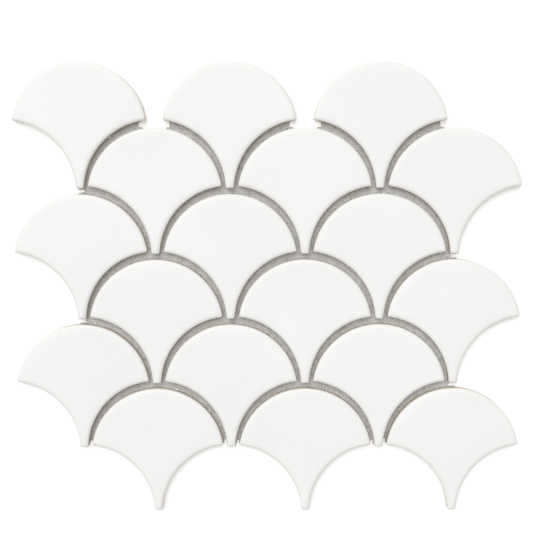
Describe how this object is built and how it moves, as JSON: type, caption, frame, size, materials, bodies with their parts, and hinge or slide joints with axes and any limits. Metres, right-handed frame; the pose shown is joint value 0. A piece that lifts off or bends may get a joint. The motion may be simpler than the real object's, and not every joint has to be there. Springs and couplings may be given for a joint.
{
  "type": "fish scale mosaic tile sheet",
  "caption": "Sheet of white glazed fan-shaped ceramic tiles in staggered rows, joined face up on a backing net, for walls and floors.",
  "frame": {"origin": "middle of the sheet's outline, on the underside of the backing net", "axes": "+X to the right across the columns, +Y towards the crowns of the tiles, +Z out of the glazed faces; the sheet lies face up"},
  "size_m": [0.2822, 0.2524, 0.0064],
  "materials": {
    "glazed_tile": "satin",
    "net": "matte"
  },
  "bodies": {
    "root": {"tile_row1_col1": "glazed_tile", "tile_row1_col2": "glazed_tile", "tile_row1_col3": "glazed_tile", "tile_row2_col1": "glazed_tile", "tile_row2_col2": "glazed_tile", "tile_row2_col3": "glazed_tile", "tile_row3_col1": "glazed_tile", "tile_row3_col2": "glazed_tile", "tile_row3_col3": "glazed_tile", "tile_row4_col1": "glazed_tile", "tile_row4_col2": "glazed_tile", "tile_row4_col3": "glazed_tile", "tile_row5_col1": "glazed_tile", "tile_row5_col2": "glazed_tile", "tile_row5_col3": "glazed_tile", "tile_row6_col1": "glazed_tile", "tile_row6_col2": "glazed_tile", "tile_row6_col3": "glazed_tile", "backing_net": "net"}
  },
  "joints": []
}
